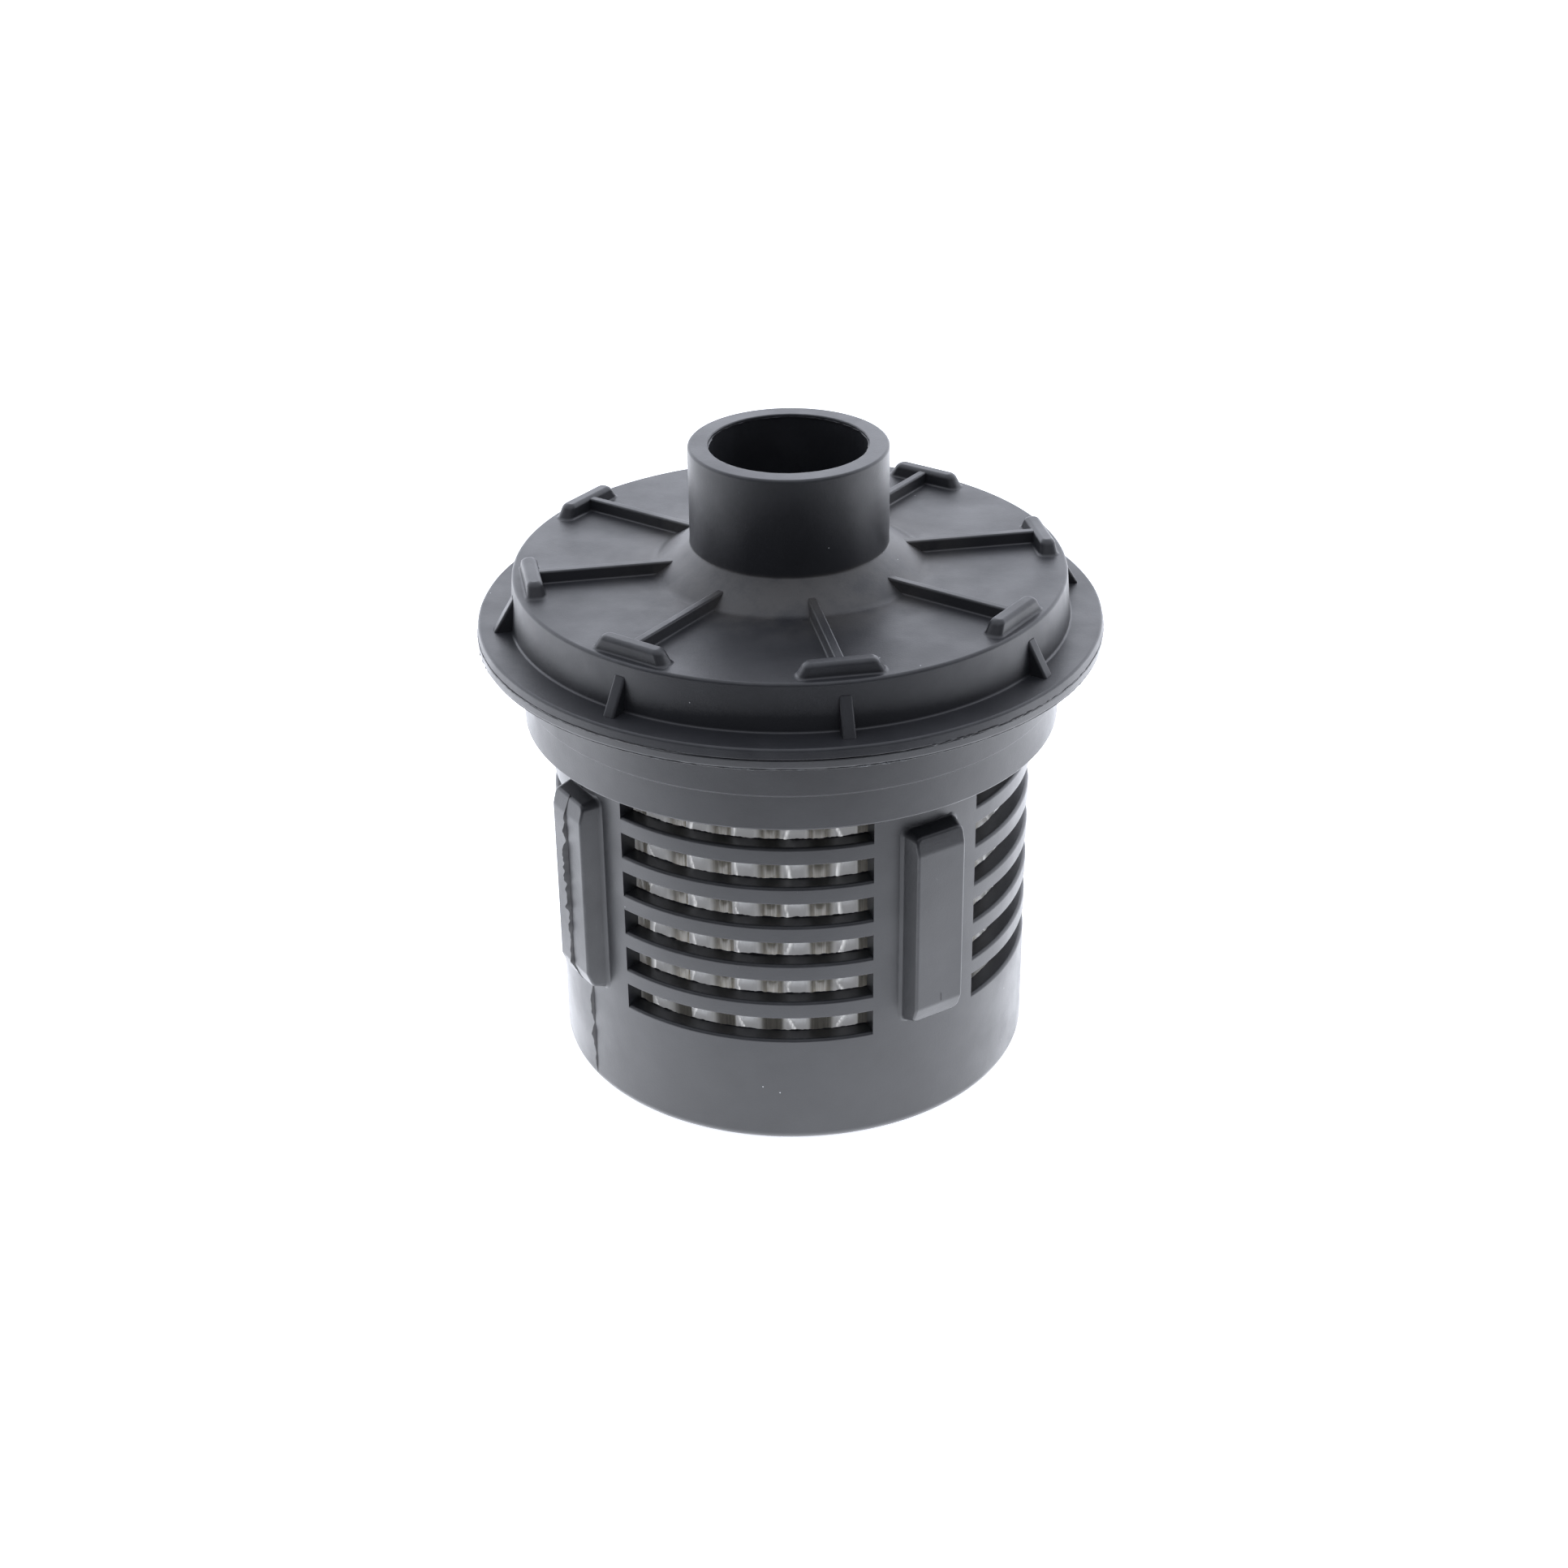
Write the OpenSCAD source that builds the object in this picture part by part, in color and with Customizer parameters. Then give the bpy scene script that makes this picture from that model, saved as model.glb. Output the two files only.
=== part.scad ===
// Exhaust-air silencer in a drum-shaped plastic housing.
// Air enters through the neck, passes down a perforated tube, spreads outward
// through wound fibre and a fluted film, and leaves by four windows of slots.
// Millimetres, +Z up along the neck, origin at the centre of the base.

/* [Neck] */
// Outside diameter of the neck at its rim
neck_d = 28.4; // [27:0.1:29.5]
// Bore that pushes over the exhaust stub
neck_bore_d = 22.6; // [21:0.1:23.4]
// Height of the neck's rim above the cover plate
neck_rise = 18.0; // [12:0.5:26]
// Height of the cone between the plate and the neck
cone_rise = 3.54; // [2.4:0.02:5]
// Diameter of the cone where it meets the plate
cone_base_d = 39.0; // [36:0.2:44]

/* [Cover] */
// Diameter of the cover's flat plate
plate_d = 79.2; // [78:0.2:80]
// Height of the plate's top face above the base
plate_z = 76.2; // [75:0.2:80]
// Thickness of the cover plate
plate_t = 3.0; // [2.4:0.1:3.4]
// Depth of the skirt from the plate down to the flange
skirt_h = 6.9; // [6.4:0.1:7.2]
// Outward draft of the skirt over its depth
skirt_draft = 0.6; // [0.2:0.1:0.9]

/* [Flange] */
// Outside diameter of both flanges
flange_d = 90.2; // [89.6:0.1:91]
// Outside diameter of the weld bead squeezed out between the flanges
bead_d = 90.6; // [90.2:0.1:91.2]
// Height of the weld line above the base
weld_z = 67.8; // [67.4:0.1:68.1]
// Thickness of the weld bead
bead_t = 0.4; // [0.2:0.1:0.6]
// Height of the flange's underside above the base
flange_low_z = 66.3; // [65.8:0.1:66.5]

/* [Ribs] */
// Number of radial ribs, each with a cross lug and a gusset
rib_count = 8; // [4:1:8]
// Turn of the first rib away from the middle of a window
rib_turn = 22.5; // [0:0.5:44]
// Height of the radial ribs
rib_h = 1.75; // [1:0.05:2.2]
// Width of a radial rib at its foot
rib_w = 1.6; // [1:0.1:2.4]
// Height of the cross lugs
lug_h = 2.0; // [1.5:0.1:2.8]
// Length of a cross lug at its foot
lug_l = 12.0; // [8:0.2:13]
// Radial depth of a cross lug at its foot
lug_w = 2.7; // [2:0.1:3.2]
// Radius of the lug's outer face at its foot
lug_r = 38.2; // [37:0.1:38.8]
// Thickness of a gusset
gusset_t = 1.8; // [1:0.1:2.2]

/* [Basket] */
// Outside diameter of the slotted wall under the collar
wall_top_d = 70.4; // [69.8:0.1:71.2]
// Outside diameter of the wall at the base
wall_base_d = 70.4; // [69.8:0.1:71]
// Thickness of the basket's wall
wall_t = 2.6; // [2.4:0.1:3.1]
// Thickness of the basket's floor
floor_t = 3.0; // [2:0.1:3]
// Diameter of the collar's lower band
collar_d = 77.9; // [77.4:0.1:78.6]
// Diameter of the collar's upper band
collar_top_d = 78.5; // [78:0.1:79]
// Height of the collar's underside above the base
collar_z = 53.9; // [53.4:0.1:54.6]
// Height of the small step between the two bands of the collar
ledge_z = 59.1; // [58:0.1:62]

/* [Windows] */
// Number of slots in each window, one above another
slot_count = 6; // [3:1:6]
// Height of one slot
slot_h = 3.6; // [2:0.1:4]
// Distance from one slot to the next
slot_pitch = 6.27; // [5.8:0.01:6.3]
// Height of the lowest slot's middle above the base
slot_z = 19.45; // [18:0.05:19.6]
// Angle that one window spans
window_angle = 61.5; // [40:0.5:64]

/* [Pads] */
// Width of a raised pad at its foot
pad_w = 8.8; // [6:0.1:10]
// Height of the pad's lower end above the base
pad_z = 18.6; // [17:0.1:22]
// Length of a pad
pad_l = 31.2; // [26:0.2:32]
// How far a pad stands out from the wall
pad_out = 2.9; // [1.5:0.1:3.3]

/* [Inlet tube] */
// Outside diameter of the perforated tube
tube_d = 24.4; // [24:0.1:24.6]
// Inside diameter of the perforated tube
tube_id = 21.6; // [20:0.1:21.8]
// Diameter of one perforation
tube_hole_d = 3.4; // [2:0.1:4]
// Number of rows of perforations
tube_rows = 7; // [4:1:7]

/* [Pack] */
// Number of flutes round the clear film
flute_count = 28; // [20:1:32]
// Height of one flute from the middle line
flute_h = 1.45; // [1:0.05:1.5]
// Thickness of the clear film
film_t = 0.4; // [0.3:0.05:0.5]
// Thickness of the felt rings
felt_t = 2.3; // [2:0.1:2.4]

/* [Hidden] */
$fn = 96;

eps = 0.01;            // overlap that joins touching shapes of one moulding
fit_gap = 0.05;        // radial clearance between parts that slide together
edge_r = 0.5;          // rounding of the moulded outer edges
base_edge_r = 1.6;     // rounding of the base's edge
plastic = [0.20, 0.21, 0.23];
film_colour = [0.85, 0.86, 0.84, 0.5];
fibre_colour = [0.80, 0.77, 0.69];
felt_colour = [0.62, 0.61, 0.58];
mesh_colour = [0.70, 0.72, 0.74];

neck_r = neck_d / 2;
neck_top = plate_z + neck_rise;
bore_r = neck_bore_d / 2;
plate_r = plate_d / 2;
plate_under = plate_z - plate_t;
flange_r = flange_d / 2;
flange_top = plate_z - skirt_h;
collar_in_r = wall_top_d / 2 + 0.1;
step_z = collar_z + 3.0;
wall_in_top = wall_top_d / 2 - wall_t;
wall_in_base = wall_base_d / 2 - wall_t;
ring_in_r = collar_in_r - 2.4;
ring_out_r = collar_in_r - 0.15;

retainer_t = 2.5;
support_z = floor_t + 3.0;
support_t = 2.2;
pack_z = support_z + support_t + felt_t;
pack_top = step_z - felt_t;
pack_h = pack_top - pack_z;
tube_r = tube_d / 2;
tube_seat_z = plate_z - 1.2;
tube_low_z = support_z + support_t;
spigot_low_z = step_z + retainer_t + 6;
spigot_r = 14.6;
plug_flange_r = 13.6;
pack_out_r = wall_in_base - 0.3;

flute_mid_r = pack_out_r - flute_h - film_t / 2;
liner_out_r = flute_mid_r - flute_h - film_t / 2 - 0.15;
liner_t = 0.4;
drain_d = 3.5;
drain_ring_r = 24;
rim_w = 3.0;           // width of the rims of the two open plates

// Arc of points from one angle to another, for a turned outline
function arc(centre, r, from, to, steps = 6) =
    [for (i = [0:steps]) centre + r * [cos(from + (to - from) * i / steps),
                                       sin(from + (to - from) * i / steps)]];

// Repeats its children round the axis
module around(count, turn = 0) {
    for (i = [0:count - 1])
        rotate([0, 0, turn + i * 360 / count]) children();
}

// Plain ring between two radii
module ring(r_out, r_in, z, h) {
    translate([0, 0, z]) difference() {
        cylinder(r = r_out, h = h);
        translate([0, 0, -1]) cylinder(r = r_in, h = h + 2);
    }
}

// Upright trapezoid seen from the front: foot, top, height, drawn in Y and Z
module trapezoid_slab(foot, top, h, x0, x1) {
    translate([x0, 0, 0]) rotate([90, 0, 90])
        linear_extrude(x1 - x0)
            polygon([[-foot / 2, -eps], [foot / 2, -eps], [top / 2, h], [-top / 2, h]]);
}

// One radial rib with its cross lug, on the plate's top face
module rib_and_lug() {
    rib_in_r = neck_r;
    lug_end_slope = 1.5;
    lug_side_slope = 0.35;
    trapezoid_slab(rib_w, rib_w - 0.35, rib_h, rib_in_r, lug_r - lug_w + 0.5);
    intersection() {
        trapezoid_slab(lug_l, lug_l - 2 * lug_end_slope, lug_h, lug_r - lug_w, lug_r);
        rotate([0, 0, 90]) translate([0, -(lug_r - lug_w / 2), 0])
            trapezoid_slab(lug_w, lug_w - 2 * lug_side_slope, lug_h, -lug_l, lug_l);
    }
}

// One triangular gusset between the skirt and the flange
module gusset() {
    top_z = plate_z - 2.0;
    foot_r = flange_r - 2.4;
    rotate([90, 0, 0]) translate([0, 0, -gusset_t / 2])
        linear_extrude(gusset_t)
            polygon([[plate_r - 1, top_z], [plate_r + 0.35, top_z],
                     [foot_r, flange_top + 0.25], [foot_r, flange_top - eps],
                     [plate_r - 1, flange_top - eps]]);
}

// Turned outline of the cover: neck, cone, plate, skirt, flange, inside
module cover_body() {
    lip_r = 0.4;
    lip_draft = 0.3;
    skirt_foot_r = plate_r + skirt_draft;
    cover_low = weld_z + bead_t / 2;
    rotate_extrude() polygon(concat(
        [[bore_r, neck_top], [neck_r - 0.3, neck_top], [neck_r, neck_top - 0.3],
         [neck_r, plate_z + cone_rise], [cone_base_d / 2, plate_z]],
        arc([plate_r - edge_r, plate_z - edge_r], edge_r, 90, 0),
        [[skirt_foot_r, flange_top]],
        arc([flange_r - lip_draft - lip_r, flange_top - lip_r], lip_r, 90, 15),
        [[flange_r, cover_low], [collar_in_r + 1.5, cover_low],
         [plate_r - plate_t + 0.4, cover_low], [plate_r - plate_t, plate_under],
         [ring_out_r, plate_under], [ring_out_r, step_z + retainer_t + 0.1],
         [ring_in_r, step_z + retainer_t + 0.1], [ring_in_r, plate_under],
         [spigot_r, plate_under], [spigot_r, spigot_low_z],
         [tube_r + fit_gap, spigot_low_z], [tube_r + fit_gap, tube_seat_z],
         [bore_r, tube_seat_z]]));
}

module cover() {
    color(plastic) {
        cover_body();
        translate([0, 0, plate_z]) around(rib_count, rib_turn) rib_and_lug();
        around(rib_count, rib_turn) gusset();
    }
}

// Turned outline of the basket: base, wall, collar, flange
module basket_body() {
    collar_r = collar_d / 2;
    collar_top_r = collar_top_d / 2;
    basket_high = weld_z - bead_t / 2;
    rotate_extrude() polygon(concat(
        [[0, 0]],
        arc([wall_base_d / 2 - base_edge_r, base_edge_r], base_edge_r, -90, 0),
        [[wall_top_d / 2, collar_z], [collar_r - 0.3, collar_z],
         [collar_r, collar_z + 0.3], [collar_r, ledge_z],
         [collar_top_r, ledge_z + 0.3], [collar_top_r, flange_low_z]],
        [[flange_r - 0.7, flange_low_z]],
        arc([flange_r - 0.5, flange_low_z + 0.5], 0.5, -70, 0),
        [[flange_r, basket_high], [collar_in_r, basket_high],
         [collar_in_r, step_z], [wall_in_top, step_z],
         [wall_in_base, floor_t], [0, floor_t]]));
}

// One slot, cut straight out through the wall between two radial planes
module slot_cut() {
    reach = wall_top_d;
    half = window_angle / 2;
    linear_extrude(slot_h)
        polygon([[0, 0], [reach * cos(half), -reach * sin(half)],
                 [reach, -reach * tan(half) * 0.5], [reach, reach * tan(half) * 0.5],
                 [reach * cos(half), reach * sin(half)]]);
}

// All the slots of one window, leaving the space inside the wall alone
module window_cut() {
    difference() {
        for (i = [0:slot_count - 1])
            translate([0, 0, slot_z - slot_h / 2 + i * slot_pitch]) slot_cut();
        cylinder(r = wall_in_base - 1, h = collar_z);
    }
}

// One raised pad: upright block with sloped ends and drafted sides
module pad() {
    root_r = wall_base_d / 2 - 1.5;
    face_r = (wall_top_d + wall_base_d) / 4 + pad_out;
    bevel_l = 3.2;
    side_draft = 0.45;
    intersection() {
        rotate([90, 0, 0]) translate([0, 0, -pad_w / 2])
            linear_extrude(pad_w)
                polygon([[root_r, pad_z], [face_r - 1.2, pad_z],
                         [face_r, pad_z + bevel_l], [face_r, pad_z + pad_l - bevel_l],
                         [face_r - 0.8, pad_z + pad_l], [root_r, pad_z + pad_l]]);
        translate([0, 0, pad_z - 1])
            linear_extrude(pad_l + 2)
                polygon([[root_r - 1, -pad_w / 2], [root_r + 1.5, -pad_w / 2],
                         [face_r, -pad_w / 2 + side_draft],
                         [face_r, pad_w / 2 - side_draft],
                         [root_r + 1.5, pad_w / 2], [root_r - 1, pad_w / 2]]);
    }
}

// Ribs and ring on the floor that hold the pack clear of collected water
module floor_ribs() {
    boss_r = 9;
    rib_end_r = 31;
    floor_rib_w = 1.6;
    rib_top = support_z;
    ring(boss_r, boss_r - 2, floor_t - eps, rib_top - floor_t + eps);
    around(8) translate([boss_r - 1, -floor_rib_w / 2, floor_t - eps])
        cube([rib_end_r - boss_r + 1, floor_rib_w, rib_top - floor_t + eps]);
}

module basket() {
    color(plastic) difference() {
        union() {
            difference() {
                basket_body();
                around(4) window_cut();
            }
            around(4, 45) pad();
            floor_ribs();
        }
        around(8, 22.5) translate([drain_ring_r, 0, -1])
            cylinder(d = drain_d, h = floor_t + 2, $fn = 32);
    }
}

module weld_bead() {
    color(plastic)
        ring(bead_d / 2, collar_in_r + 1.5, weld_z - bead_t / 2, bead_t);
}

// Perforated tube that carries the air from the neck into the pack
module inlet_tube() {
    first_row_z = pack_z + 5;
    row_pitch = 5.4;
    holes_in_row = 10;
    color(plastic) difference() {
        ring(tube_r, tube_id / 2, tube_low_z, tube_seat_z - tube_low_z);
        for (row = [0:tube_rows - 1])
            around(holes_in_row, (row % 2) * 180 / holes_in_row)
                translate([tube_r - 3, 0, first_row_z + row * row_pitch])
                    rotate([0, 90, 0]) cylinder(d = tube_hole_d, h = 6, $fn = 24);
    }
}

// Plug that closes the tube's lower end and centres it in the support
module tube_plug() {
    plug_r = tube_id / 2 - fit_gap;
    plug_h = 4;
    cup_r = 6;
    color(plastic) {
        ring(plug_flange_r, cup_r, support_z, support_t);
        ring(plug_r, cup_r, support_z, support_t + plug_h);
        translate([0, 0, support_z]) cylinder(r = cup_r + 1, h = support_t);
    }
}

// Open plate: two or three rings joined by spokes
module open_plate(r_in, r_out, z, t, spokes) {
    spoke_w = 2.0;
    ring(r_in + rim_w, r_in, z, t);
    ring(r_out, r_out - rim_w, z, t);
    mid_r = (r_in + r_out) / 2;
    ring(mid_r + 1, mid_r - 1, z, t);
    around(spokes) translate([r_in + rim_w / 2, -spoke_w / 2, z])
        cube([r_out - r_in - rim_w, spoke_w, t]);
}

module upper_retainer() {
    color(plastic)
        open_plate(tube_r + 0.3, collar_in_r - 0.3, step_z, retainer_t, 12);
}

module lower_support() {
    color(plastic)
        open_plate(plug_flange_r + 0.2, pack_out_r, support_z, support_t, 12);
}

module upper_felt() {
    color(felt_colour) ring(pack_out_r, tube_r + 0.3, pack_top, felt_t);
}

module lower_felt() {
    color(felt_colour) ring(pack_out_r, tube_r + 0.3, pack_z - felt_t, felt_t);
}

// Sleeve of upright wires with thinner hoops running through them
module mesh_sleeve(r_in, wires, hoops, wire_w) {
    end_gap = 1.5;
    hoop_pitch = (pack_h - 2 * end_gap - wire_w) / (hoops - 1);
    around(wires) translate([r_in, -wire_w / 2, pack_z]) cube([wire_w, wire_w, pack_h]);
    for (i = [0:hoops - 1])
        ring(r_in + 0.8 * wire_w, r_in + 0.25 * wire_w,
             pack_z + end_gap + i * hoop_pitch, wire_w);
}

module inner_mesh() {
    color(mesh_colour) mesh_sleeve(tube_r + 0.1, 16, 9, 1.0);
}

module fibre_inner() {
    color(fibre_colour) ring(17.8, 13.5, pack_z, pack_h);
}

module spacer_mesh_inner() {
    color(mesh_colour) mesh_sleeve(17.9, 18, 7, 0.8);
}

module fibre_middle() {
    color(fibre_colour) ring(22.9, 18.9, pack_z, pack_h);
}

module spacer_mesh_outer() {
    color(mesh_colour) mesh_sleeve(23.0, 20, 7, 0.8);
}

module fibre_outer() {
    color(fibre_colour) ring(liner_out_r - liner_t - 0.1, 24.0, pack_z, pack_h);
}

module film_liner() {
    color(film_colour) ring(liner_out_r, liner_out_r - liner_t, pack_z, pack_h);
}

// Film with upright flutes that fills the last gap inside the wall
module fluted_sleeve() {
    points = flute_count * 8;
    function wave(side) = [for (i = [0:points - 1])
        let (a = i * 360 / points,
             r = flute_mid_r + flute_h * cos(flute_count * a) + side * film_t / 2)
        [r * cos(a), r * sin(a)]];
    color(film_colour) translate([0, 0, pack_z]) linear_extrude(pack_h) difference() {
        polygon(wave(1));
        polygon(wave(-1));
    }
}

// Strip that closes the liner's upright overlap
module film_seam_tape() {
    tape_t = 0.12;
    tape_angle = 16;
    color(mesh_colour) rotate([0, 0, 135 - tape_angle / 2])
        rotate_extrude(angle = tape_angle)
            translate([liner_out_r, pack_z + 1]) square([tape_t, pack_h - 2]);
}

cover();
basket();
weld_bead();
inlet_tube();
tube_plug();
upper_retainer();
lower_support();
upper_felt();
lower_felt();
inner_mesh();
fibre_inner();
spacer_mesh_inner();
fibre_middle();
spacer_mesh_outer();
fibre_outer();
film_liner();
fluted_sleeve();
film_seam_tape();
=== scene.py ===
import math

import bmesh
import bpy
from mathutils import Matrix, Vector, noise


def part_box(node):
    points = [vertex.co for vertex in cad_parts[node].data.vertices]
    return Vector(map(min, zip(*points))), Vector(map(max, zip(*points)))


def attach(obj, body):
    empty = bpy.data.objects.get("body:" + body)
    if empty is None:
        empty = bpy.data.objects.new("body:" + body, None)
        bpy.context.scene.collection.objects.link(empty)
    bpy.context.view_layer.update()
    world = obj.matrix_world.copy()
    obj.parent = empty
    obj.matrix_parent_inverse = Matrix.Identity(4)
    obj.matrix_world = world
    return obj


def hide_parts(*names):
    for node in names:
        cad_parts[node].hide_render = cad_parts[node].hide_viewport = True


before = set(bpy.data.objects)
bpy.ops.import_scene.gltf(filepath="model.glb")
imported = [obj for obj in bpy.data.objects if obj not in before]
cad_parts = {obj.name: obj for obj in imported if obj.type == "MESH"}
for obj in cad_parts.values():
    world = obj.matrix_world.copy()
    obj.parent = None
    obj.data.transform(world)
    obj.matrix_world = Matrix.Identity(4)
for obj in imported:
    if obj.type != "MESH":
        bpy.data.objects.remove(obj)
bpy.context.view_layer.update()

# ---------------------------------------------------------------- sizes
# Millimetres throughout; MM turns them into Blender's metres.
MM = 0.001


def box_mm(node):
    low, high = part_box(node)
    return low / MM, high / MM


COVER_HIGH = box_mm("cover")[1]
BASKET_HIGH = box_mm("basket")[1]
BEAD_LOW, BEAD_HIGH = box_mm("weld_bead")
FILM_LOW, FILM_HIGH = box_mm("fluted_sleeve")
TUBE_HIGH = box_mm("inlet_tube")[1]
RETAINER_LOW, RETAINER_HIGH = box_mm("upper_retainer")

# Cover
NECK_TOP = COVER_HIGH.z
NECK_R = 14.2
BORE_R = 11.3
NECK_RISE = 18.0
PLATE_Z = NECK_TOP - NECK_RISE
PLATE_R = 39.6
PLATE_T = 3.0
PLATE_UNDER = PLATE_Z - PLATE_T
CONE_R = 19.5
CONE_RISE = 3.54
CONE_TOP = PLATE_Z + CONE_RISE
SKIRT_DRAFT = 0.6
SKIRT_FOOT_R = PLATE_R + SKIRT_DRAFT
FLANGE_R = BASKET_HIGH.x
SKIRT_H = 6.9
FLANGE_TOP = PLATE_Z - SKIRT_H
WELD_Z = (BEAD_LOW.z + BEAD_HIGH.z) / 2
SPIGOT_RISE = 6.0
SPIGOT_LOW = RETAINER_HIGH.z + SPIGOT_RISE
SPIGOT_R = 14.6
FIT_GAP = 0.05
TUBE_SEAT_R = TUBE_HIGH.x + FIT_GAP
TUBE_SEAT_Z = TUBE_HIGH.z

# Ribs, lugs and gussets of the cover
RIB_COUNT = 8
RIB_TURN = 22.5
RIB_H = 1.75
RIB_W = 1.6
LUG_H = 2.0
LUG_L = 12.0
LUG_W = 2.7
LUG_R = 38.2
GUSSET_T = 1.8

# Basket
WALL_BASE_R = 35.2
WALL_TOP_R = 35.2
WALL_T = 2.6
FLOOR_T = 3.0
COLLAR_Z = 53.9
COLLAR_R = 38.95
COLLAR_TOP_R = 39.25
LEDGE_Z = 59.1
FLANGE_LOW = 66.3
SOCKET_R = WALL_TOP_R + 0.1
STEP_Z = RETAINER_LOW.z
SLOT_COUNT = 6
SLOT_LOW = 17.65
SLOT_H = 3.6
SLOT_PITCH = 6.27
WINDOW_HALF = 30.75
SILL_ROUND = 0.5
HEAD_ROUND = 0.18
DRAIN_COUNT = 8
DRAIN_TURN = 22.5
DRAIN_R = 1.75
DRAIN_RING_R = 24.0

# Raised pads of the basket
PAD_W = 8.8
PAD_L = 31.2
PAD_Z = 18.6
PAD_OUT = 2.9
PAD_BEVEL = 3.2
PAD_TURNS = (45, 135, 225, 315)
SEAM_TURNS = (225, 45)
FRONT = math.radians(-90)

# Bearing of the camera from the front, turned toward +X, and the level direction toward it
CAMERA_BEARING = 12.2
CAMERA_TURN = FRONT + math.radians(CAMERA_BEARING)
TOWARD_CAMERA = (math.cos(CAMERA_TURN), math.sin(CAMERA_TURN), 0.0)
UP = (0.0, 0.0, 1.0)


# ---------------------------------------------------------------- mesh tools
def new_shape():
    shape = bmesh.new()
    shape.verts.layers.float.new("edge")
    return shape


def add_vert(shape, x, y, z, edge=0.0):
    vert = shape.verts.new((x * MM, y * MM, z * MM))
    vert[shape.verts.layers.float["edge"]] = edge
    return vert


def outline(corners, steps=5):
    """Closed outline of (r, z, edge) from corners (r, z, fillet radius); edge is 1 along a fillet's middle."""
    points = []
    count = len(corners)
    for i, (r, z, radius) in enumerate(corners):
        here = Vector((r, z))
        if radius <= 0:
            points.append((r, z, 0.0))
            continue
        before = Vector(corners[i - 1][:2]) - here
        after = Vector(corners[(i + 1) % count][:2]) - here
        half = before.angle(after) / 2
        reach = min(radius / math.tan(half), 0.48 * before.length, 0.48 * after.length)
        middle = (before.normalized() + after.normalized()).normalized()
        centre = here + middle * reach / math.cos(half)
        start = here + before.normalized() * reach - centre
        end = here + after.normalized() * reach - centre
        sweep = math.pi - 2 * half
        convex = before.x * after.y - before.y * after.x > 0
        for k in range(steps + 1):
            share = k / steps
            spoke = (math.sin((1 - share) * sweep) * start + math.sin(share * sweep) * end) / math.sin(sweep)
            worn = math.sin(math.pi * share) if convex else 0.0
            points.append((centre.x + spoke.x, centre.y + spoke.y, worn))
    return points


def even_columns(count):
    return [2 * math.pi * i / count for i in range(count)]


def add_turned(shape, points, columns, warp=None):
    """Closed turned shell: one copy of the outline at each angle, joined all the way round."""
    stacks = []
    for angle in columns:
        stack = []
        for r, z, edge in points:
            if warp:
                r, z, edge = warp(angle, r, z, edge)
            stack.append(add_vert(shape, r * math.cos(angle), r * math.sin(angle), z, edge))
        stacks.append(stack)
    for i, stack in enumerate(stacks):
        following = stacks[(i + 1) % len(stacks)]
        for j in range(len(stack)):
            k = (j + 1) % len(stack)
            shape.faces.new((stack[j], stack[k], following[k], following[j]))
    return stacks


def add_loft(shape, layers, place=Matrix.Identity(4), cap=True):
    """Closed shell through a stack of loops, each a list of (x, y, z, edge), set in place by a matrix."""
    loops = []
    for layer in layers:
        loop = []
        for x, y, z, edge in layer:
            spot = place @ Vector((x, y, z))
            loop.append(add_vert(shape, spot.x, spot.y, spot.z, edge))
        loops.append(loop)
    for below, above in zip(loops, loops[1:]):
        for j in range(len(below)):
            k = (j + 1) % len(below)
            shape.faces.new((below[j], below[k], above[k], above[j]))
    shape.faces.new(list(reversed(loops[0])))
    if cap:
        shape.faces.new(loops[-1])
    return loops


def rounded_rectangle(half_x, half_y, corner, steps=4):
    points = []
    for quarter in range(4):
        centre_x = (half_x - corner) * (1 if quarter in (0, 3) else -1)
        centre_y = (half_y - corner) * (1 if quarter in (0, 1) else -1)
        for k in range(steps + 1):
            angle = math.radians(90 * (quarter + k / steps))
            points.append((centre_x + corner * math.cos(angle), centre_y + corner * math.sin(angle)))
    return points


def quarter_steps(count):
    return [math.radians(90 * k / count) for k in range(count + 1)]


def block_layers(half_x, half_y, height, draft_x, draft_y, corner, foot, crown):
    """Loops of a moulded block: flared foot, drafted sides and a rounded crown."""
    sunk = 0.4
    levels = [(-sunk, foot, 0.0)]
    levels += [(foot * (1 - math.cos(t)), foot * (1 - math.sin(t)), 0.0) for t in quarter_steps(4)]
    levels += [(height - crown * (1 - math.sin(t)), -crown * (1 - math.cos(t)), math.sin(2 * t))
               for t in quarter_steps(5)]
    layers = []
    for z, grow, edge in levels:
        lift = max(z, 0) / height
        x = half_x - draft_x * lift + grow
        y = half_y - draft_y * lift + grow
        points = rounded_rectangle(x, y, max(corner + grow, 0.08))
        layers.append([(px, py, z, edge) for px, py in points])
    return layers


def turned_place(angle_deg, x=0.0, z=0.0):
    return Matrix.Rotation(math.radians(angle_deg), 4, "Z") @ Matrix.Translation((x, 0, z))


def finish_shape(shape, name, material, replaces=(), sharp_deg=40.0):
    """Turns the shape into a piece that rides on the part's body."""
    bmesh.ops.remove_doubles(shape, verts=shape.verts, dist=1e-7)
    bmesh.ops.recalc_face_normals(shape, faces=shape.faces)
    mesh = bpy.data.meshes.new(name)
    shape.to_mesh(mesh)
    shape.free()
    mesh.materials.append(material)
    piece = bpy.data.objects.new(name, mesh)
    bpy.context.scene.collection.objects.link(piece)
    shade(piece, sharp_deg)
    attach(piece, "root")
    if replaces:
        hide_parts(*replaces)
    return piece


def shade(piece, sharp_deg):
    for polygon in piece.data.polygons:
        polygon.use_smooth = True
    piece.data.set_sharp_from_angle(angle=math.radians(sharp_deg))
    weighted = piece.modifiers.new("weighted", "WEIGHTED_NORMAL")
    weighted.keep_sharp = True


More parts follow.
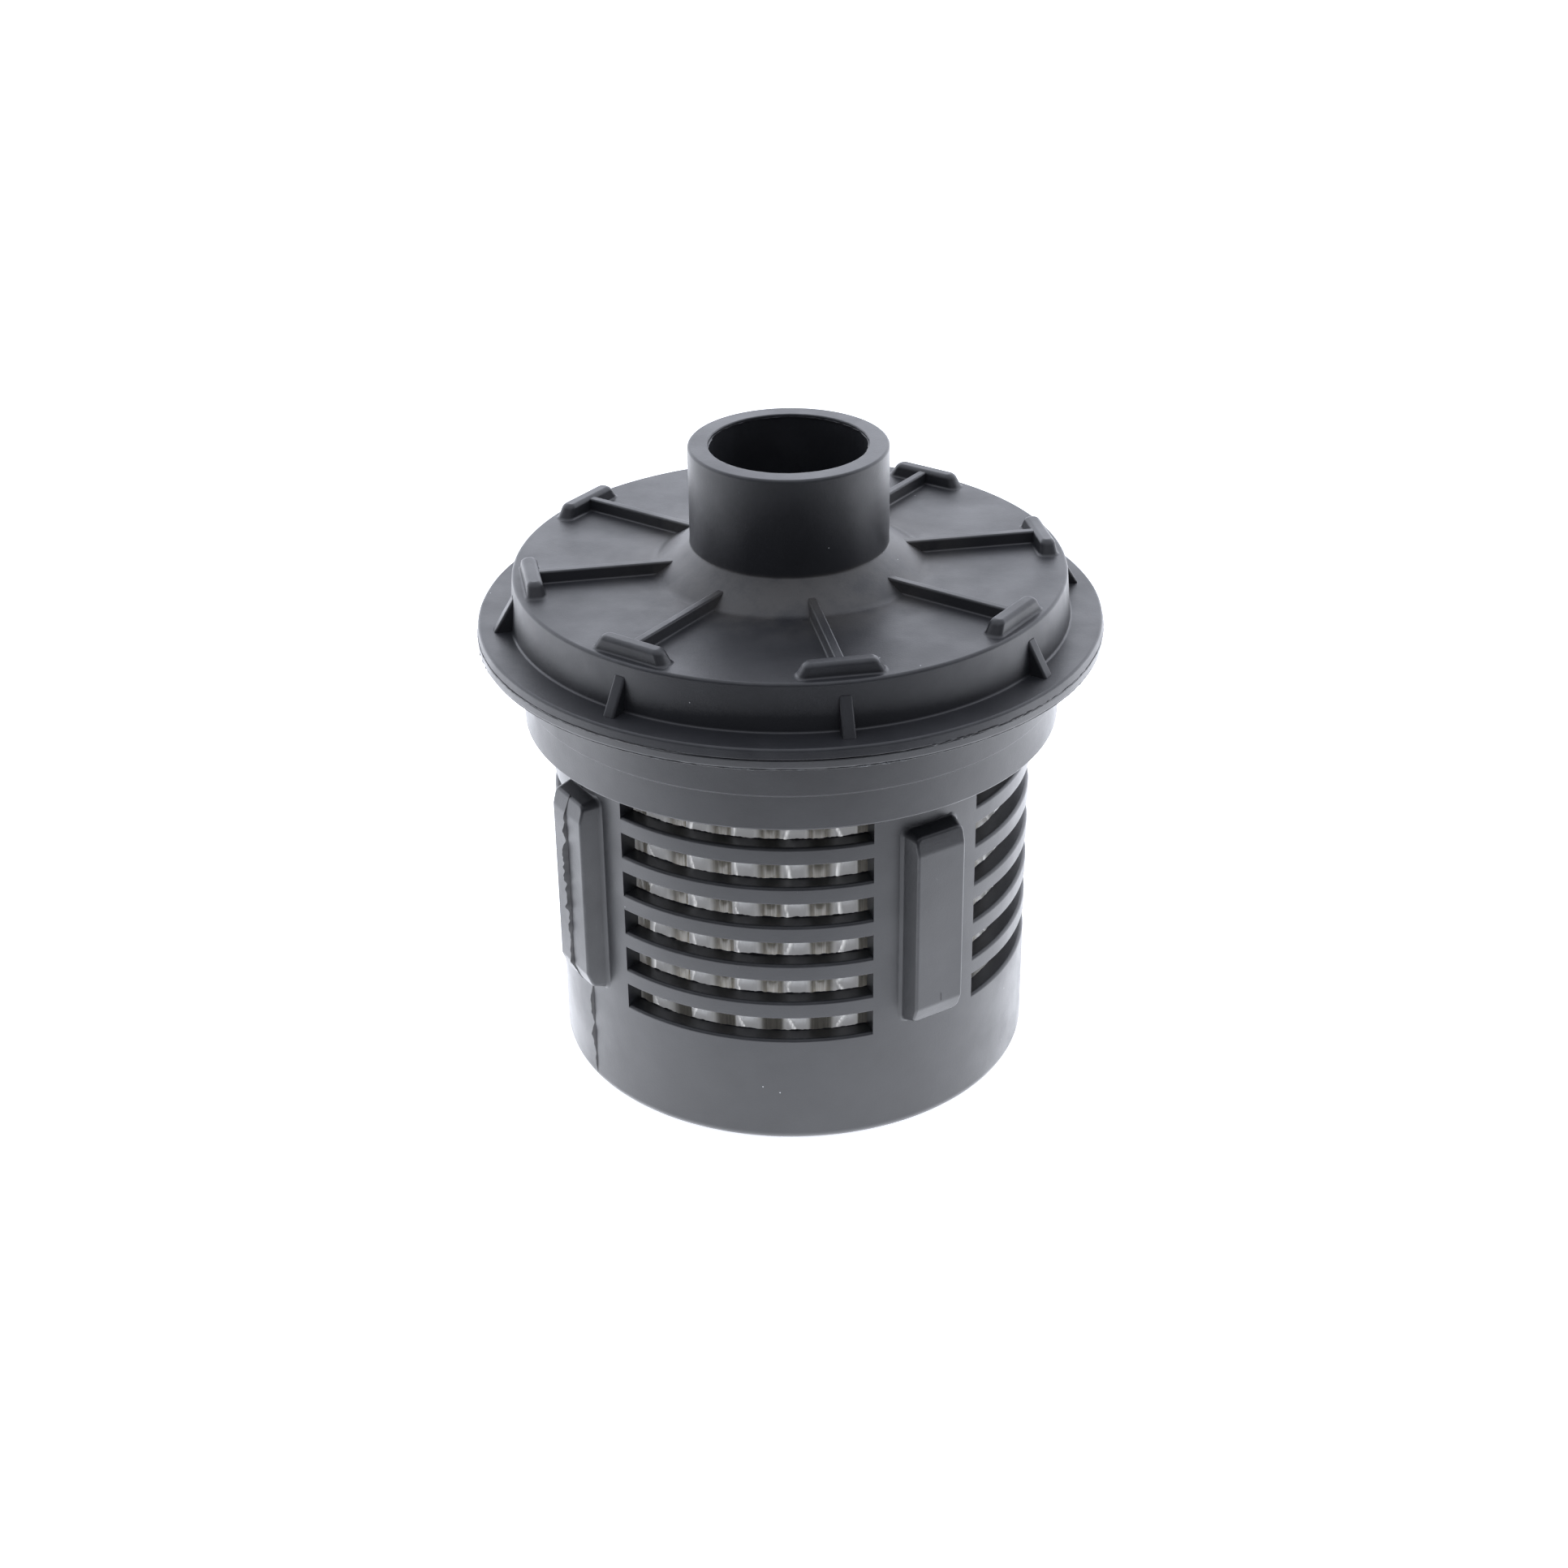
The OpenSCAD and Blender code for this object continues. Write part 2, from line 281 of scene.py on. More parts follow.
def rough_line(x, y, z, size):
    """Smooth random value from -1 to 1 that changes over the given size in millimetres."""
    return noise.noise(Vector((x, y, z)) / size)


def ring_noise(angle, radius, z, size):
    return rough_line(radius * math.cos(angle), radius * math.sin(angle), z, size)


# ---------------------------------------------------------------- materials
class Graph:
    """Short calls for the nodes that the materials share. Coordinates are the object's own, in metres."""

    def __init__(self, tree, coords="Object"):
        self.tree = tree
        self.coords = tree.nodes.new("ShaderNodeTexCoord").outputs[coords]

    def put(self, socket, value):
        if isinstance(value, bpy.types.NodeSocket):
            self.tree.links.new(value, socket)
        elif hasattr(value, "__len__") and len(value) == 3 and socket.type == "RGBA":
            socket.default_value = (*value, 1.0)
        else:
            socket.default_value = value

    def scaled(self, scale):
        node = self.tree.nodes.new("ShaderNodeMapping")
        self.put(node.inputs["Vector"], self.coords)
        node.inputs["Scale"].default_value = scale
        return node.outputs["Vector"]

    def noise(self, size_mm, detail=3.0, roughness=0.55, coords=None, distortion=0.0):
        node = self.tree.nodes.new("ShaderNodeTexNoise")
        self.put(node.inputs["Vector"], coords or self.coords)
        node.inputs["Scale"].default_value = 1 / (size_mm * MM) if coords is None else 1 / size_mm
        node.inputs["Detail"].default_value = detail
        node.inputs["Roughness"].default_value = roughness
        node.inputs["Distortion"].default_value = distortion
        return node.outputs["Fac"]

    def specks(self, pitch_mm, radius_share, kept):
        """1 inside small dots, one at most in each cell of that pitch, and only in the kept share of the cells."""
        node = self.tree.nodes.new("ShaderNodeTexVoronoi")
        self.put(node.inputs["Vector"], self.coords)
        node.inputs["Scale"].default_value = 1 / (pitch_mm * MM)
        near = self.math("LESS_THAN", node.outputs["Distance"], radius_share)
        parts = self.tree.nodes.new("ShaderNodeSeparateColor")
        self.put(parts.inputs["Color"], node.outputs["Color"])
        chosen = self.math("LESS_THAN", parts.outputs["Red"], kept)
        return self.math("MULTIPLY", near, chosen)

    def math(self, operation, a, b=0.0, clamp=False):
        node = self.tree.nodes.new("ShaderNodeMath")
        node.operation = operation
        node.use_clamp = clamp
        self.put(node.inputs[0], a)
        self.put(node.inputs[1], b)
        return node.outputs[0]

    def fade(self, value, low, high, out_low=0.0, out_high=1.0):
        node = self.tree.nodes.new("ShaderNodeMapRange")
        node.interpolation_type = "SMOOTHSTEP"
        for name, number in (("Value", value), ("From Min", low), ("From Max", high),
                             ("To Min", out_low), ("To Max", out_high)):
            self.put(node.inputs[name], number)
        return node.outputs["Result"]

    def mix(self, share, a, b):
        node = self.tree.nodes.new("ShaderNodeMix")
        node.data_type = "RGBA"
        self.put(node.inputs["Factor"], share)
        for socket in node.inputs:
            if socket.type == "RGBA" and socket.name in ("A", "B"):
                self.put(socket, a if socket.name == "A" else b)
        return next(s for s in node.outputs if s.type == "RGBA")

    def attribute(self, name):
        node = self.tree.nodes.new("ShaderNodeAttribute")
        node.attribute_name = name
        return node.outputs["Fac"]

    def bump(self, height, depth_mm, normal=None):
        node = self.tree.nodes.new("ShaderNodeBump")
        node.inputs["Distance"].default_value = depth_mm * MM
        self.put(node.inputs["Height"], height)
        if normal:
            self.put(node.inputs["Normal"], normal)
        return node.outputs["Normal"]

    def radius(self):
        """Distance from the part's axis, in metres."""
        node = self.tree.nodes.new("ShaderNodeVectorMath")
        node.operation = "LENGTH"
        self.put(node.inputs[0], self.scaled((1, 1, 0)))
        return node.outputs["Value"]

    def along(self, direction):
        """The coordinates' distance along a direction."""
        node = self.tree.nodes.new("ShaderNodeVectorMath")
        node.operation = "DOT_PRODUCT"
        self.put(node.inputs[0], self.coords)
        node.inputs[1].default_value = direction
        return node.outputs["Value"]

    def seen_from_behind(self):
        return self.tree.nodes.new("ShaderNodeNewGeometry").outputs["Backfacing"]

    def seen_directly(self):
        return self.tree.nodes.new("ShaderNodeLightPath").outputs["Is Camera Ray"]


class MaterialGraph(Graph):
    """Graph of a new material with one principled shader."""

    def __init__(self, name):
        self.material = bpy.data.materials.new(name)
        self.material.use_nodes = True
        tree = self.material.node_tree
        tree.nodes.clear()
        super().__init__(tree)
        self.shader = tree.nodes.new("ShaderNodeBsdfPrincipled")
        output = tree.nodes.new("ShaderNodeOutputMaterial")
        tree.links.new(self.shader.outputs["BSDF"], output.inputs["Surface"])


def moulded(name, dark, light, roughness, bloom=None, dust=0.10, wear=0.30):
    """Black moulded plastic: mottled tone, satin roughness, fine grain, worn corners, dust and faint marks."""
    g = MaterialGraph(name)
    tone = g.mix(g.fade(g.noise(14, 4), 0.35, 0.68), dark, light)
    if bloom:
        near_cone = g.fade(g.radius(), 0.030, 0.016)
        below_neck = g.fade(g.along(UP), CONE_TOP * MM, (CONE_TOP + 0.6) * MM, 1.0, 0.0)
        patch = g.math("MULTIPLY", near_cone, g.fade(g.noise(7, 5, 0.65), 0.30, 0.62))
        patch = g.math("MULTIPLY", patch, below_neck)
        tone = g.mix(patch, tone, bloom)
    worn = g.math("MULTIPLY", g.attribute("edge"), g.fade(g.noise(3.2, 4, 0.6), 0.40, 0.75))
    tone = g.mix(g.math("MULTIPLY", worn, wear), tone, (0.060, 0.062, 0.067))
    streaks = g.noise(1.0, 3, 0.6, coords=g.scaled((2600, 260, 700)), distortion=0.4)
    scuffs = g.math("MULTIPLY", g.fade(streaks, 0.70, 0.80), g.fade(g.noise(9, 2), 0.52, 0.66))
    tone = g.mix(g.math("MULTIPLY", scuffs, 0.30), tone, (0.10, 0.10, 0.105))
    specks = g.specks(2.6, 0.034, dust)
    tone = g.mix(specks, tone, (0.42, 0.43, 0.44))
    g.put(g.shader.inputs["Base Color"], tone)
    gloss = g.fade(g.noise(10, 4, 0.6), 0.30, 0.70, roughness - 0.045, roughness + 0.055)
    gloss = g.math("ADD", gloss, g.math("MULTIPLY", worn, 0.05))
    gloss = g.math("ADD", gloss, g.math("MULTIPLY", specks, 0.4), clamp=True)
    g.put(g.shader.inputs["Roughness"], gloss)
    swell = g.bump(g.noise(6.0, 2), 0.05)
    grain = g.bump(g.noise(0.28, 3, 0.7), 0.015, swell)
    g.put(g.shader.inputs["Normal"], grain)
    g.shader.inputs["IOR"].default_value = 1.5
    return g.material


def burr_plastic():
    """Plastic torn and re-melted along the weld: dark in its folds, pale on its torn tips."""
    g = MaterialGraph("burr_plastic")
    pale = g.math("MULTIPLY", g.attribute("edge"), g.fade(g.noise(1.1, 4, 0.7), 0.50, 0.68))
    tone = g.mix(g.fade(g.noise(2.0, 3), 0.35, 0.65), (0.005, 0.005, 0.006), (0.014, 0.015, 0.017))
    g.put(g.shader.inputs["Base Color"], g.mix(pale, tone, (0.30, 0.32, 0.34)))
    g.put(g.shader.inputs["Roughness"], g.fade(g.noise(0.8, 3), 0.3, 0.7, 0.42, 0.68))
    g.put(g.shader.inputs["Normal"], g.bump(g.noise(0.35, 4, 0.7), 0.06))
    return g.material


def clear_film(name, alpha, tint, bump_mm):
    """Thin clear film with a slight haze and fine pressing lines along its flutes."""
    g = MaterialGraph(name)
    lines = g.noise(1.0, 3, 0.6, coords=g.scaled((1700, 1700, 60)))
    haze = g.noise(4.0, 4, 0.6)
    g.put(g.shader.inputs["Base Color"], g.mix(g.fade(haze, 0.3, 0.7), tint, (0.93, 0.93, 0.94)))
    g.put(g.shader.inputs["Alpha"], g.fade(haze, 0.30, 0.75, alpha - 0.10, alpha + 0.12))
    g.put(g.shader.inputs["Roughness"], g.fade(g.noise(2.2, 3), 0.3, 0.7, 0.08, 0.24))
    crumple = g.bump(g.noise(1.6, 3, 0.6, distortion=1.2), bump_mm)
    g.put(g.shader.inputs["Normal"], g.bump(lines, 0.02, crumple))
    g.shader.inputs["IOR"].default_value = 1.56
    return g.material


def hazy_film():
    """Fluted film: milky along its crests with a painted glow and a painted highlight along its folds, clearer in
    its valleys, which are painted darker and browner as the shaded fibre behind them, with fine upright lines.
    """
    g = MaterialGraph("fluted_film")
    crest = g.fade(g.attribute("edge"), 0.10, 0.72)
    glint = g.fade(g.attribute("edge"), 0.85, 1.25)
    lines = g.noise(1.0, 3, 0.6, coords=g.scaled((2600, 2600, 40)))
    haze = g.noise(5.0, 3, 0.55)
    # The valleys' darker, browner colour is painted shade, standing in for the shaded fibre seen through them.
    valley_tone = g.mix(g.fade(lines, 0.35, 0.65), (0.28, 0.255, 0.20), (0.46, 0.425, 0.36))
    crest_tone = g.mix(g.fade(haze, 0.3, 0.7), (0.46, 0.465, 0.475), (0.56, 0.565, 0.575))
    g.put(g.shader.inputs["Base Color"], g.mix(crest, valley_tone, crest_tone))
    g.put(g.shader.inputs["Alpha"], g.fade(crest, 0.0, 1.0, 0.80, 0.92))
    g.shader.inputs["Emission Color"].default_value = (0.97, 0.98, 1.0, 1.0)
    # A faint painted glow on the crests stands in for light that the film scatters and reflects, and the glint
    # adds a brighter painted highlight along the folds.
    glow = g.math("ADD", g.fade(crest, 0.0, 1.0, 0.02, 0.17), g.math("MULTIPLY", glint, 0.26))
    g.put(g.shader.inputs["Emission Strength"], glow)
    g.put(g.shader.inputs["Roughness"], g.fade(g.noise(2.2, 3), 0.3, 0.7, 0.10, 0.24))
    g.put(g.shader.inputs["Normal"], g.bump(lines, 0.02, g.bump(haze, 0.03)))
    g.shader.inputs["IOR"].default_value = 1.56
    return g.material


def fibre(name, dark, light, scale, depth_mm):
    """Wound fibre or felt: crossing strands stretched along the given scale."""
    g = MaterialGraph(name)
    strands = g.noise(1.0, 5, 0.7, coords=g.scaled(scale), distortion=0.6)
    clumps = g.noise(5.0, 3)
    tone = g.mix(g.fade(strands, 0.30, 0.72), dark, light)
    tone = g.mix(g.fade(clumps, 0.35, 0.75, 0.0, 0.45), tone, dark)
    g.put(g.shader.inputs["Base Color"], tone)
    g.put(g.shader.inputs["Roughness"], g.fade(strands, 0.3, 0.7, 0.78, 0.95))
    g.put(g.shader.inputs["Normal"], g.bump(strands, depth_mm))
    g.shader.inputs["Sheen Weight"].default_value = 0.25
    return g.material


def net_plastic():
    """Pale extruded net, slightly cloudy, with draw lines along its wires."""
    g = MaterialGraph("net_plastic")
    draw = g.noise(1.0, 3, coords=g.scaled((3000, 3000, 200)))
    cloud = g.fade(g.noise(3.0), 0.3, 0.7)
    g.put(g.shader.inputs["Base Color"], g.mix(cloud, (0.50, 0.52, 0.54), (0.66, 0.68, 0.70)))
    g.put(g.shader.inputs["Roughness"], g.fade(draw, 0.3, 0.7, 0.30, 0.50))
    g.put(g.shader.inputs["Normal"], g.bump(draw, 0.03))
    return g.material


def seam_tape():
    """Cream tape with a faint weave."""
    g = MaterialGraph("seam_tape")
    weave = g.noise(1.0, 2, coords=g.scaled((900, 900, 2400)))
    thread = g.fade(weave, 0.3, 0.7)
    g.put(g.shader.inputs["Base Color"], g.mix(thread, (0.58, 0.55, 0.46), (0.72, 0.70, 0.62)))
    g.put(g.shader.inputs["Roughness"], g.fade(g.noise(1.2), 0.3, 0.7, 0.35, 0.55))
    g.put(g.shader.inputs["Normal"], g.bump(weave, 0.02))
    return g.material


def pale_floor():
    """Pale table lit from below, brightest at the base and dimmer toward the camera; clear from underneath."""
    g = MaterialGraph("pale_floor")
    toward = g.along(TOWARD_CAMERA)
    beside, at_base, ahead, far_ahead = 2.1, 2.6, 1.4, 0.9
    as_seen = 0.9
    glow = g.fade(toward, -0.03, 0.035, beside, at_base)
    glow = g.fade(toward, 0.04, 0.10, glow, ahead)
    glow = g.fade(toward, 0.10, 0.16, glow, far_ahead)
    g.put(g.shader.inputs["Emission Strength"], g.fade(g.seen_directly(), 0.0, 1.0, glow, as_seen))
    g.shader.inputs["Emission Color"].default_value = (0.915, 0.94, 1.0, 1.0)
    g.put(g.shader.inputs["Alpha"], g.math("SUBTRACT", 1.0, g.seen_from_behind()))
    patches = g.fade(g.noise(60), 0.3, 0.7)
    g.put(g.shader.inputs["Base Color"], g.mix(patches, (0.90, 0.90, 0.90), (0.92, 0.92, 0.92)))
    g.put(g.shader.inputs["Roughness"], g.fade(g.noise(30), 0.3, 0.7, 0.55, 0.62))
    g.put(g.shader.inputs["Normal"], g.bump(g.noise(2.0), 0.01))
    return g.material


COVER_PLASTIC = moulded("cover_plastic", (0.0132, 0.0138, 0.0164), (0.0185, 0.0194, 0.0226), 0.43,
                        bloom=(0.048, 0.046, 0.044), dust=0.22)
BASKET_PLASTIC = moulded("basket_plastic", (0.0080, 0.0085, 0.0104), (0.0120, 0.0128, 0.0152), 0.37, dust=0.14)
# This darker plastic is also put on the parting-line fins, where its darker tone is painted shade.
INNER_PLASTIC = moulded("inner_plastic", (0.0060, 0.0062, 0.0070), (0.0090, 0.0092, 0.0102), 0.44, dust=0.03)
BURR_PLASTIC = burr_plastic()


# ---------------------------------------------------------------- cover
def cover_outline():
    low = WELD_Z + 0.05
    ring_out = SOCKET_R - 0.15
    ring_in = SOCKET_R - 2.4
    ring_low = RETAINER_HIGH.z + 0.1
    return outline([
        (BORE_R, NECK_TOP, 0.22), (NECK_R, NECK_TOP, 0.42),
        (NECK_R, CONE_TOP, 0.45), (CONE_R, PLATE_Z, 2.2),
        (PLATE_R, PLATE_Z, 0.5), (SKIRT_FOOT_R, FLANGE_TOP, 0.35),
        (FLANGE_R - 0.25, FLANGE_TOP, 0.45), (FLANGE_R - 0.02, low, 0.12),
        (SOCKET_R + 1.5, low, 0), (PLATE_R - 2.6, low, 0), (PLATE_R - 3.0, PLATE_UNDER, 0.6),
        (ring_out, PLATE_UNDER, 0), (ring_out, ring_low, 0.2),
        (ring_in, ring_low, 0.2), (ring_in, PLATE_UNDER, 0),
        (SPIGOT_R, PLATE_UNDER, 0), (SPIGOT_R, SPIGOT_LOW, 0.2),
        (TUBE_SEAT_R, SPIGOT_LOW, 0.2), (TUBE_SEAT_R, TUBE_SEAT_Z, 0), (BORE_R, TUBE_SEAT_Z, 0)])


def cover_warp(angle, r, z, edge):
    """Slight moulding unevenness along the flange's edge and the rim."""
    if r > FLANGE_R - 0.6 and z < FLANGE_TOP:
        uneven = ring_noise(angle, 45, z, 8.0) + 0.25 * ring_noise(angle, 45, z, 2.0)
        r = r - 0.06 + 0.04 * uneven
        edge = max(edge, 0.25 + 0.25 * uneven)
    if z > NECK_TOP - 0.5 and r < BORE_R + 0.3:
        uneven = ring_noise(angle, 11, 0, 0.9)
        r = r + 0.05 * uneven
        edge = min(1.0, edge + 0.3)
    return r, z, edge


def add_rib_and_lug(shape, turn):
    rib_from, rib_to = NECK_R + 0.6, LUG_R - LUG_W + 0.6
    rib = block_layers((rib_to - rib_from) / 2, RIB_W / 2, RIB_H, 0.0, 0.16, 0.12, 0.25, 0.28)
    add_loft(shape, rib, turned_place(turn, (rib_from + rib_to) / 2, PLATE_Z))
    lug = block_layers(LUG_W / 2, LUG_L / 2, LUG_H, 0.28, 1.15, 1.0, 0.30, 0.62)
    add_loft(shape, lug, turned_place(turn, LUG_R - LUG_W / 2, PLATE_Z))


def add_gusset(shape, turn):
    """Triangular gusset with a rounded sloping edge, built in layers across its thickness."""
    root_r = PLATE_R - 1
    top_drop = 2.0
    foot_inset = 2.4
    top = Vector((PLATE_R + 0.25, PLATE_Z - top_drop))
    foot = Vector((FLANGE_R - foot_inset, FLANGE_TOP + 0.15))
    along = (foot - top).normalized()
    inward = Vector((along.y, -along.x))
    crown = 0.35
    half = GUSSET_T / 2
    levels = [(-half + crown * (1 - math.sin(t)), crown * (1 - math.cos(t)), math.sin(2 * t))
              for t in reversed(quarter_steps(4))]
    levels += [(-y, inset, edge) for y, inset, edge in reversed(levels)]
    layers = []
    for y, inset, edge in levels:
        a = top + inward * inset
        b = foot + inward * inset
        layers.append([(root_r, y, a.y, 0), (a.x, y, a.y, edge), (b.x, y, b.y, edge),
                       (b.x, y, FLANGE_TOP - 0.3, 0), (root_r, y, FLANGE_TOP - 0.3, 0)])
    add_loft(shape, layers, turned_place(turn))


def add_rim_flash(shape):
    """Thin torn skin left inside the bore's rim, with a larger lump toward the front right."""
    columns = even_columns(360)
    lump_angle = FRONT + math.radians(27)
    side_angle = FRONT + math.radians(-28)

    def warp(angle, r, z, edge):
        ragged = 0.16 + 0.16 * ring_noise(angle, 11, 3, 1.2) + 0.10 * ring_noise(angle, 11, 9, 0.4)
        ragged += 0.75 * bell(angle, lump_angle, 9) * (0.8 + 0.4 * ring_noise(angle, 11, 5, 0.7))
        ragged += 0.30 * bell(angle, side_angle, 12)
        if r < BORE_R:
            r = BORE_R - max(ragged, 0.02)
            z = z + 0.10 * ring_noise(angle, 11, 7, 1.0)
            edge = min(1.0, 0.3 + ragged)
        return r, z, edge

    skin_z = NECK_TOP - 0.42
    skin_outline = [(BORE_R + 0.3, skin_z - 0.12, 0), (BORE_R + 0.3, skin_z + 0.12, 0),
                    (BORE_R - 0.1, skin_z + 0.05, 0), (BORE_R - 0.1, skin_z - 0.03, 0)]
    add_turned(shape, skin_outline, columns, warp)


def build_cover():
    shape = new_shape()
    add_turned(shape, cover_outline(), even_columns(320), cover_warp)
    for i in range(RIB_COUNT):
        turn = RIB_TURN + 360 * i / RIB_COUNT
        add_rib_and_lug(shape, turn)
        add_gusset(shape, turn)
    add_rim_flash(shape)
    return finish_shape(shape, "moulded_cover", COVER_PLASTIC, ("cover",))


# ---------------------------------------------------------------- weld
def bell(angle, centre, width_deg):
    """1 at the centre angle, falling smoothly to 0 over about twice the width."""
    away = math.remainder(angle - centre, 2 * math.pi) / math.radians(width_deg)
    return math.exp(-away * away)


def bead_warp(angle, r, z, edge):
    """Edge of the melted line: almost flush, with an open crack at the front and burrs to its right."""
    if r > FLANGE_R - 1:
        crack = bell(angle, CAMERA_TURN + math.radians(3), 17)
        burred = bell(angle, CAMERA_TURN + math.radians(38), 20)
        coarse = ring_noise(angle, 45, 2, 9.0)
        fine = ring_noise(angle, 45, z, 1.1) + 0.6 * ring_noise(angle, 45, z, 0.4)
        r = FLANGE_R - 0.07 - 0.30 * crack + 0.05 * coarse + (0.03 + 0.10 * burred + 0.16 * crack) * fine
        r = min(r, BEAD_HIGH.x)
        torn = max(0.0, fine - 0.35) * (0.3 + crack + burred)
        edge = min(1.0, 1.6 * torn)
        z = z + 0.05 * ring_noise(angle, 45, 11, 2.0)
    return r, z, edge


def build_weld():
    half = 0.16
    points = [(SOCKET_R + 1.6, WELD_Z - half, 0), (SOCKET_R + 1.6, WELD_Z + half, 0),
              (FLANGE_R - 0.3, WELD_Z + half, 0), (FLANGE_R, WELD_Z, 0),
              (FLANGE_R - 0.3, WELD_Z - half, 0)]
    shape = new_shape()
    add_turned(shape, points, even_columns(900), bead_warp)
    return finish_shape(shape, "melted_weld_line", BURR_PLASTIC, ("weld_bead",), 180)


# ---------------------------------------------------------------- basket
def wall_outer_r(z):
    return WALL_BASE_R + (WALL_TOP_R - WALL_BASE_R) * z / COLLAR_Z


def wall_inner_r(z):
    return WALL_BASE_R - WALL_T + (WALL_TOP_R - WALL_BASE_R) * (z - FLOOR_T) / (STEP_Z - FLOOR_T)


def basket_columns():
    """Angles round the basket and whether the next column is in a window; window edges fall on columns."""
    window_steps, pillar_steps = 44, 20
    columns = []
    for quarter in range(4):
        middle = 90 * quarter
        for k in range(window_steps):
            columns.append((middle - WINDOW_HALF + 2 * WINDOW_HALF * k / window_steps, True))
        for k in range(pillar_steps):
            pillar = 90 - 2 * WINDOW_HALF
            columns.append((middle + WINDOW_HALF + pillar * k / pillar_steps, False))
    return [(math.radians(angle), in_window) for angle, in_window in columns]


def slot_path(low, high):
    """Points of a slot's sill from outside in, and of its head from outside in."""
    sill, head = [], []
    for t in quarter_steps(5):
        z = low - SILL_ROUND * (1 - math.sin(t))
        sill.append((wall_outer_r(low) - SILL_ROUND * (1 - math.cos(t)), z, 0.6 * math.sin(2 * t)))
    for t in quarter_steps(3):
        z = high + HEAD_ROUND * (1 - math.sin(t))
        head.append((wall_outer_r(high) - HEAD_ROUND * (1 - math.cos(t)), z, math.sin(2 * t)))
    sill.append((wall_inner_r(low), low, 0.0))
    head.append((wall_inner_r(high), high, 0.0))
    return sill, head


def flange_warp(angle, r, z):
    """Unevenness of the basket flange's edge."""
    if r > FLANGE_R - 0.9 and z > FLANGE_LOW - 0.1:
        uneven = ring_noise(angle, 45, 31, 8.0) + 0.3 * ring_noise(angle, 45, 37, 1.6)
        r = r - 0.06 + 0.04 * uneven
    return r


def build_basket_wall(shape):
    """Base, slotted wall, collar and flange as one closed grid; each slot is a clean hole through it."""
    slots = [slot_path(SLOT_LOW + i * SLOT_PITCH, SLOT_LOW + i * SLOT_PITCH + SLOT_H) for i in range(SLOT_COUNT)]
    high = WELD_Z - 0.05
    lower = outline([(0, 0, 0), (WALL_BASE_R, 0, 1.6), (wall_outer_r(12), 12, 0)], 8)[:-1]
    upper = outline([(WALL_TOP_R, 50, 0), (WALL_TOP_R, COLLAR_Z, 0.25), (COLLAR_R, COLLAR_Z, 0.35),
                     (COLLAR_R, LEDGE_Z, 0.06), (COLLAR_TOP_R, LEDGE_Z + 0.3, 0.14),
                     (COLLAR_TOP_R, FLANGE_LOW, 0.5), (FLANGE_R - 0.05, FLANGE_LOW, 0.5),
                     (FLANGE_R, high, 0.12), (SOCKET_R, high, 0.1), (SOCKET_R, STEP_Z, 0.1),
                     (wall_inner_r(STEP_Z), STEP_Z, 0.2), (wall_inner_r(50), 50, 0)])[1:-1]
    outer_wall = [point for sill, head in slots for point in (sill[0], head[0])]
    inner_wall = [point for sill, head in reversed(slots) for point in (head[-1], sill[-1])]
    floor = outline([(wall_inner_r(12), 12, 0), (wall_inner_r(FLOOR_T), FLOOR_T, 0.8), (0, FLOOR_T, 0)])[1:]
    profile = lower + outer_wall + upper + inner_wall + floor
    outer_at = len(lower)
    inner_at = len(lower) + len(outer_wall) + len(upper)
    columns = basket_columns()

    stacks, paths = [], []
    for i, (angle, in_window) in enumerate(columns):
        cosine, sine = math.cos(angle), math.sin(angle)
        stack = []
        for r, z, edge in profile:
            r = flange_warp(angle, r, z)
            stack.append(add_vert(shape, r * cosine, r * sine, z, edge))
        stacks.append(stack)
        column_paths = None
        if in_window or columns[i - 1][1]:
            column_paths = []
            for k, (sill, head) in enumerate(slots):
                outer_low, outer_high = stack[outer_at + 2 * k], stack[outer_at + 2 * k + 1]
                from_end = 2 * (SLOT_COUNT - 1 - k)
                inner_high, inner_low = stack[inner_at + from_end], stack[inner_at + from_end + 1]
                sill_verts = [add_vert(shape, r * cosine, r * sine, z, edge) for r, z, edge in sill[1:-1]]
                head_verts = [add_vert(shape, r * cosine, r * sine, z, edge) for r, z, edge in head[1:-1]]
                column_paths.append(([outer_low, *sill_verts, inner_low], [outer_high, *head_verts, inner_high]))
        paths.append(column_paths)

    open_rows = {outer_at + 2 * k for k in range(SLOT_COUNT)} | {inner_at + 2 * k for k in range(SLOT_COUNT)}
    for i, (angle, in_window) in enumerate(columns):
        after = (i + 1) % len(columns)
        stack, following = stacks[i], stacks[after]
        for j in range(len(stack)):
            if in_window and j in open_rows:
                continue
            k = (j + 1) % len(stack)
            shape.faces.new((stack[j], stack[k], following[k], following[j]))
        if in_window:
            for here, there in zip(paths[i], paths[after]):
                for path, next_path in zip(here, there):
                    for j in range(len(path) - 1):
                        shape.faces.new((path[j], path[j + 1], next_path[j + 1], next_path[j]))
        if in_window != columns[i - 1][1]:
            for sill, head in paths[i]:
                shape.faces.new(sill + list(reversed(head)))


def pad_outline(half_y, half_z, corner, breaks):
    """Right side of a pad's outline from bottom to top as (y, z); the left side mirrors it."""
    side = []
    for t in quarter_steps(4):
        side.append((half_y - corner + corner * math.sin(t), -half_z + corner * (1 - math.cos(t))))
    side += [(half_y, z) for z in breaks]
    for t in reversed(quarter_steps(4)):
        side.append((half_y - corner + corner * math.sin(t), half_z - corner * (1 - math.cos(t))))
    return side


def pad_height(z):
    """How far the pad's face stands out at a height from the pad's middle, lower toward both ends."""
    start = PAD_L / 2 - PAD_BEVEL
    low_end, high_end = 1.2, 0.8
    share = max(0.0, (abs(z) - start) / PAD_BEVEL)
    soft = 0.12
    share = share * share / (share + soft) * (1 + soft)
    return PAD_OUT - share * (low_end if z < 0 else high_end)


